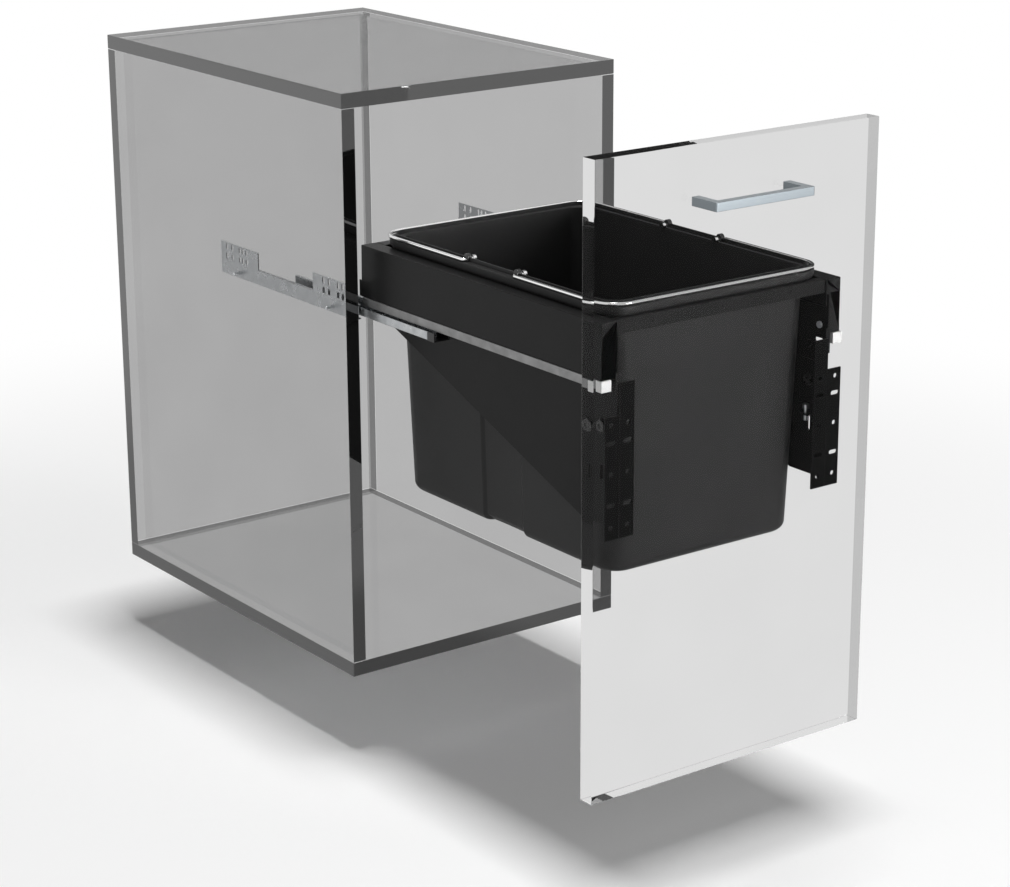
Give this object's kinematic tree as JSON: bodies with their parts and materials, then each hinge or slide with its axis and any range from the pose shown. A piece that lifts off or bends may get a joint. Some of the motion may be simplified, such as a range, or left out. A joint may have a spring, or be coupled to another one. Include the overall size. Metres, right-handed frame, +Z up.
{
  "type": "pull-out waste bin cabinet",
  "caption": "See-through base cabinet with a full-depth pull-out drawer that carries a lift-out waste bin in a steel frame, hinged bag wires, ball runners, a clear front panel and a bar handle.",
  "frame": {"origin": "centre of the cabinet's underside", "axes": "+Z up, -Y out of the front with the drawer pulled that way, +X to the right seen from the front"},
  "size_m": [0.4, 1.0692, 0.72],
  "materials": {
    "tinted_panel": "see-through grey acrylic sheet, polished",
    "clear_panel": "clear acrylic sheet, polished",
    "zinc_rail": "bright zinc plate on rolled steel",
    "grey_rail": "dull zinc plate on rolled steel",
    "cage_steel": "plain rolled steel strip",
    "ball_steel": "polished bearing steel",
    "screw_zinc": "bright zinc plate",
    "black_steel": "fine-textured black powder coat, satin",
    "black_plastic": "moulded, satin",
    "white_plastic": "moulded, satin",
    "bin_plastic": "moulded, fine matt grain",
    "satin_aluminium": "satin anodised",
    "bright_wire": "polished plate on wire"
  },
  "bodies": {
    "cabinet": {"left_side_panel": "tinted_panel", "right_side_panel": "tinted_panel", "top_panel": "tinted_panel", "bottom_panel": "tinted_panel", "back_panel": "tinted_panel", "left_cabinet_rail": "zinc_rail", "right_cabinet_rail": "zinc_rail", "rail_screws": "screw_zinc"},
    "left_outer_cage": {"left_outer_cage": "cage_steel", "left_outer_balls": "ball_steel"},
    "right_outer_cage": {"right_outer_cage": "cage_steel", "right_outer_balls": "ball_steel"},
    "left_middle": {"left_middle_rail": "zinc_rail", "left_middle_stop": "black_plastic"},
    "right_middle": {"right_middle_rail": "zinc_rail", "right_middle_stop": "black_plastic"},
    "left_inner_cage": {"left_inner_cage": "cage_steel", "left_inner_balls": "ball_steel"},
    "right_inner_cage": {"right_inner_cage": "cage_steel", "right_inner_balls": "ball_steel"},
    "drawer": {"left_drawer_rail": "grey_rail", "left_rail_cap": "white_plastic", "right_drawer_rail": "grey_rail", "right_rail_cap": "white_plastic", "left_frame_side": "black_steel", "right_frame_side": "black_steel", "frame_front_rail": "black_steel", "frame_rear_rail": "black_steel", "frame_rivets": "black_steel", "left_side_bracket": "black_steel", "right_side_bracket": "black_steel", "left_door_bracket": "black_steel", "right_door_bracket": "black_steel", "bracket_bolts": "screw_zinc", "frame_bolts": "black_steel", "door_panel": "clear_panel", "handle": "satin_aluminium", "handle_screws": "screw_zinc"},
    "bin": {"bin_tub": "bin_plastic", "bag_wire_clips": "black_plastic"},
    "front_wire": {"front_bag_wire": "bright_wire", "front_wire_caps": "bright_wire"},
    "rear_wire": {"rear_bag_wire": "bright_wire", "rear_wire_caps": "bright_wire"},
    "left_cam": {"left_tilt_cam": "screw_zinc"},
    "right_cam": {"right_tilt_cam": "screw_zinc"},
    "left_height_screw": {"left_height_screw": "screw_zinc"},
    "right_height_screw": {"right_height_screw": "screw_zinc"}
  },
  "joints": [
    {"name": "drawer_slide", "type": "slide", "parent": "cabinet", "child": "drawer", "axis": [0, -1, 0], "range_m": [-0.447, 0]},
    {"name": "left_middle_slide", "type": "slide", "parent": "cabinet", "child": "left_middle", "axis": [0, -1, 0], "range_m": [-0.14751, 0]},
    {"name": "left_outer_cage_slide", "type": "slide", "parent": "cabinet", "child": "left_outer_cage", "axis": [0, -1, 0], "range_m": [-0.07376, 0]},
    {"name": "left_inner_cage_slide", "type": "slide", "parent": "cabinet", "child": "left_inner_cage", "axis": [0, -1, 0], "range_m": [-0.29725, 0]},
    {"name": "right_middle_slide", "type": "slide", "parent": "cabinet", "child": "right_middle", "axis": [0, -1, 0], "range_m": [-0.14751, 0]},
    {"name": "right_outer_cage_slide", "type": "slide", "parent": "cabinet", "child": "right_outer_cage", "axis": [0, -1, 0], "range_m": [-0.07376, 0]},
    {"name": "right_inner_cage_slide", "type": "slide", "parent": "cabinet", "child": "right_inner_cage", "axis": [0, -1, 0], "range_m": [-0.29725, 0]},
    {"name": "bin_lift", "type": "slide", "parent": "drawer", "child": "bin", "axis": [0, 0, 1], "range_m": [0, 0.34]},
    {"name": "front_wire_hinge", "type": "hinge", "parent": "bin", "child": "front_wire", "pos_m": [0, -0.546, 0.5503], "axis": [-1, 0, 0], "range_deg": [0, 100]},
    {"name": "rear_wire_hinge", "type": "hinge", "parent": "bin", "child": "rear_wire", "pos_m": [0, -0.451, 0.5503], "axis": [1, 0, 0], "range_deg": [0, 100]},
    {"name": "left_cam_turn", "type": "hinge", "parent": "drawer", "child": "left_cam", "pos_m": [-0.151, -0.7, 0.416], "axis": [1, 0, 0], "range_deg": [-60, 60]},
    {"name": "left_height_turn", "type": "hinge", "parent": "drawer", "child": "left_height_screw", "pos_m": [-0.1434, -0.701, 0.384], "axis": [0, 0, 1], "range_deg": [-180, 180]},
    {"name": "right_cam_turn", "type": "hinge", "parent": "drawer", "child": "right_cam", "pos_m": [0.151, -0.7, 0.416], "axis": [1, 0, 0], "range_deg": [-60, 60]},
    {"name": "right_height_turn", "type": "hinge", "parent": "drawer", "child": "right_height_screw", "pos_m": [0.1434, -0.701, 0.384], "axis": [0, 0, 1], "range_deg": [-180, 180]}
  ],
  "couplings": [
    {"joint": "left_middle_slide", "follows": "drawer_slide", "ratio": 0.33},
    {"joint": "left_outer_cage_slide", "follows": "drawer_slide", "ratio": 0.165},
    {"joint": "left_inner_cage_slide", "follows": "drawer_slide", "ratio": 0.665},
    {"joint": "right_middle_slide", "follows": "drawer_slide", "ratio": 0.33},
    {"joint": "right_outer_cage_slide", "follows": "drawer_slide", "ratio": 0.165},
    {"joint": "right_inner_cage_slide", "follows": "drawer_slide", "ratio": 0.665}
  ]
}
